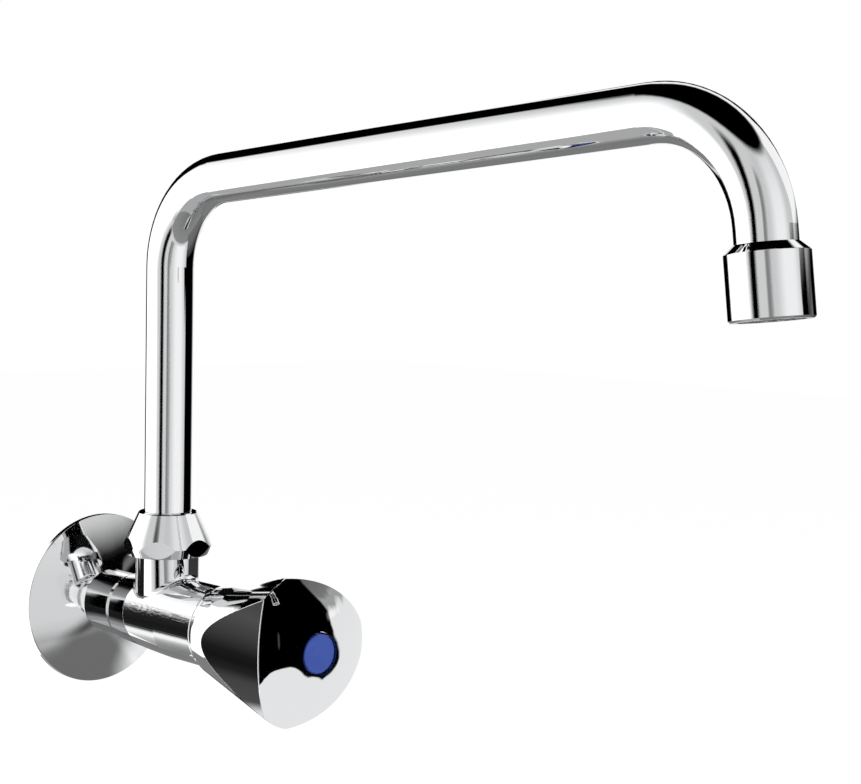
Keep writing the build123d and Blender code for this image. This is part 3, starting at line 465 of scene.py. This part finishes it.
def plating_marks():
    """Polished plating: a faint swell left by the casting or the bending, hairline wiping marks, and a thin veil
    of dried drops. Puts out a height in metres, a roughness and a tint."""
    g, ins = new_group("plating_marks", {"Swell": 0.0, "Swell Size": 0.006, "Hairlines": 1.0, "Gloss": 0.03,
                                         "Veil": 0.25}, ("Height", "Roughness", "Tint"))
    at = put(g, "ShaderNodeTexCoord").outputs["Object"]
    swell = noise(g, at, calc(g, "DIVIDE", 1.0, ins["Swell Size"]), 1.5, 0.45)
    swell = calc(g, "MULTIPLY", calc(g, "SUBTRACT", swell, 0.5), ins["Swell"])
    lines = []
    for run in HAIRLINE_RUNS:
        stretched = put(g, "ShaderNodeMapping", {"Vector": at, "Scale": run, "Rotation": HAIRLINE_TURN})
        lines.append(ramp(g, noise(g, stretched.outputs[0], 1.0), 0.66, 0.74))
    lines = calc(g, "MULTIPLY", reduce(lambda a, b: calc(g, "MAXIMUM", a, b), lines), ins["Hairlines"])
    height = calc(g, "SUBTRACT", swell, calc(g, "MULTIPLY", lines, HAIRLINE_DEPTH))
    film = calc(g, "MULTIPLY", ramp(g, noise(g, at, FILM_SCALE, 4.0, 0.6), 0.45, 0.72), ins["Veil"])
    drops = put(g, "ShaderNodeTexVoronoi", {"Vector": at, "Scale": DROPS_SCALE}).outputs["Distance"]
    rims = calc(g, "MULTIPLY", ramp(g, drops, 0.13, 0.17), ramp(g, drops, 0.24, 0.19))
    rims = calc(g, "MULTIPLY", rims, calc(g, "MULTIPLY", film, 0.6))
    rough = ins["Gloss"]
    for mark, rise in ((film, 0.035), (rims, 0.05), (lines, 0.015)):
        rough = calc(g, "ADD", rough, calc(g, "MULTIPLY", mark, rise))
    tint = calc(g, "SUBTRACT", 1.0, calc(g, "MULTIPLY", film, 0.04))
    return put_out(g, {"Height": height, "Roughness": rough, "Tint": tint})


def moulded_grain():
    """Moulded plastic or rubber: slow clouds in its colour, a fine skin and a gloss that follows that skin."""
    g, ins = new_group("moulded_grain", {"Grain": 0.00002, "Grain Size": 0.0006, "Smoothest": 0.27,
                                         "Roughest": 0.39}, ("Height", "Roughness", "Cloud"))
    at = put(g, "ShaderNodeTexCoord").outputs["Object"]
    fine = noise(g, at, calc(g, "DIVIDE", 1.0, ins["Grain Size"]))
    return put_out(g, {"Height": calc(g, "MULTIPLY", fine, ins["Grain"]),
                       "Roughness": ramp(g, fine, 0.2, 0.8, ins["Smoothest"], ins["Roughest"]),
                       "Cloud": ramp(g, noise(g, at, 160.0, 3.0), 0.3, 0.7)})


def lathe_marks():
    """Turned metal: fine rings that run round the piece, because the noise changes fast only along its axis, and
    a tarnish in soft patches that lies deeper in the rings."""
    g, ins = new_group("lathe_marks", {"Stretch": (300.0, 6000.0, 300.0), "Depth": 0.000002, "Smoothest": 0.2,
                                       "Roughest": 0.38}, ("Height", "Roughness", "Tarnish"))
    at = put(g, "ShaderNodeTexCoord").outputs["Object"]
    along = put(g, "ShaderNodeVectorMath", {0: at, 1: ins["Stretch"]}, operation="MULTIPLY").outputs[0]
    rings = noise(g, along, 1.0, 3.0, 0.6)
    patches = ramp(g, noise(g, at, 220.0, 4.0), 0.38, 0.68)
    rough = calc(g, "ADD", ramp(g, rings, 0.3, 0.7, ins["Smoothest"], ins["Roughest"]),
                 calc(g, "MULTIPLY", patches, 0.08))
    return put_out(g, {"Height": calc(g, "MULTIPLY", rings, ins["Depth"]), "Roughness": rough,
                       "Tarnish": calc(g, "MULTIPLY", patches, ramp(g, rings, 0.62, 0.40, 0.45, 1.0))})


# ---------------------------------------------------------------- finishes

PLATING = plating_marks()
MOULDING = moulded_grain()
TURNING = lathe_marks()
DULL_CHROME, BRIGHT_CHROME = (0.72, 0.73, 0.75), (0.885, 0.89, 0.90)
BRASS, TARNISHED_BRASS = (0.74, 0.57, 0.27), (0.50, 0.34, 0.14)
ALONG_BODY = (300.0, 6000.0, 300.0)
ALONG_STUB = (300.0, 300.0, 6000.0)
ALONG_WIRE = (900.0, 2600.0, 900.0)
ACROSS_MESH = (5200.0, 5200.0, 900.0)


def marked_finish(name, marks_group, mask, colour, other_colour, values, metallic):
    """A finish whose two colours mix by one of the marks' masks, with their height and roughness."""
    m, tree = new_material(name)
    marks = put(tree, "ShaderNodeGroup", node_tree=marks_group)
    for label, value in values.items():
        marks.inputs[label].default_value = value
    marks = marks.outputs
    tint = put(tree, "ShaderNodeMix", {"Factor": marks[mask], "A": (*colour, 1.0), "B": (*other_colour, 1.0)},
               data_type="RGBA").outputs["Result"]
    bump = put(tree, "ShaderNodeBump", {"Height": marks["Height"], "Distance": 1.0}).outputs[0]
    shade = put(tree, "ShaderNodeBsdfPrincipled", {"Base Color": tint, "Metallic": metallic,
                                                   "Roughness": marks["Roughness"], "Normal": bump})
    put(tree, "ShaderNodeOutputMaterial", {"Surface": shade.outputs[0]})
    return m


def chrome_finish(name, gloss=0.03, swell=0.0, swell_size=0.006):
    return marked_finish(name, PLATING, "Tint", DULL_CHROME, BRIGHT_CHROME,
                         {"Gloss": gloss, "Swell": swell, "Swell Size": swell_size}, 1.0)


def moulded_finish(name, colour, pale_colour, smoothest=0.27, roughest=0.39, grain=0.00002, grain_size=0.0006):
    return marked_finish(name, MOULDING, "Cloud", colour, pale_colour, {
        "Grain": grain, "Grain Size": grain_size, "Smoothest": smoothest, "Roughest": roughest}, 0.0)


def turned_finish(name, colour, tarnished, stretch, depth=0.000002, smoothest=0.2, roughest=0.38):
    return marked_finish(name, TURNING, "Tarnish", colour, tarnished, {
        "Stretch": stretch, "Depth": depth, "Smoothest": smoothest, "Roughest": roughest}, 1.0)


def give_finishes():
    """Every node gets the finish of what it is made of."""
    finishes = {
        chrome_finish("tube_chrome", 0.02): ["spout_tube"],
        chrome_finish("cast_chrome", swell=0.000012, swell_size=0.005): ["body"],
        chrome_finish("plate_chrome", 0.05): ["rosette"],
        chrome_finish("handle_chrome"): ["handle"],
        chrome_finish("turned_chrome"): ["spout_nut", "spout_end", "aerator_shell"],
        moulded_finish("index_blue_plastic", (0.035, 0.085, 0.43), (0.045, 0.10, 0.47)): ["index_button"],
        turned_finish("turned_brass_inside_body", BRASS, TARNISHED_BRASS, ALONG_BODY):
            ["bonnet", "spindle", "valve_carrier", "washer_screw"],
        turned_finish("turned_brass_spigot", BRASS, TARNISHED_BRASS, ALONG_STUB): ["spout_nipple"],
        turned_finish("drawn_steel", (0.63, 0.63, 0.64), (0.44, 0.43, 0.41), ALONG_WIRE, depth=0.0000012):
            ["circlip", "handle_screw"],
        turned_finish("woven_screen_steel", (0.60, 0.60, 0.61), (0.40, 0.40, 0.38), ACROSS_MESH, smoothest=0.28,
                      roughest=0.45): ["aerator_inlet_screen", "aerator_outlet_screen"],
        moulded_finish("seal_rubber", (0.030, 0.030, 0.033), (0.052, 0.052, 0.055), 0.62, 0.82, 0.00003, 0.0004):
            ["rosette_seal", "spindle_o_ring_inner", "spindle_o_ring_outer", "spout_o_ring_lower",
             "spout_o_ring_upper", "aerator_washer"],
        moulded_finish("washer_rubber", (0.040, 0.038, 0.036), (0.070, 0.066, 0.062), 0.55, 0.78, 0.00003,
                       0.0005): ["bonnet_gasket", "valve_washer"],
        moulded_finish("slide_ring_plastic", (0.80, 0.80, 0.77), (0.86, 0.86, 0.84), 0.30, 0.44):
            ["slide_ring_lower", "slide_ring_upper", "spline_bush"],
        moulded_finish("cartridge_plastic", (0.42, 0.44, 0.46), (0.50, 0.52, 0.54), 0.34, 0.50):
            ["aerator_cartridge", "aerator_jet_plate"],
    }
    for finish, node_names in finishes.items():
        for node_name in node_names:
            for slot in tap[node_name].material_slots:
                slot.material = finish


stand_camera()
light_studio()
lay_floor()
hang_surround()
hang_second_looks()
hang_flags()
hang_plate_boards()
hang_handle_boards()
hang_body_boards()
give_finishes()
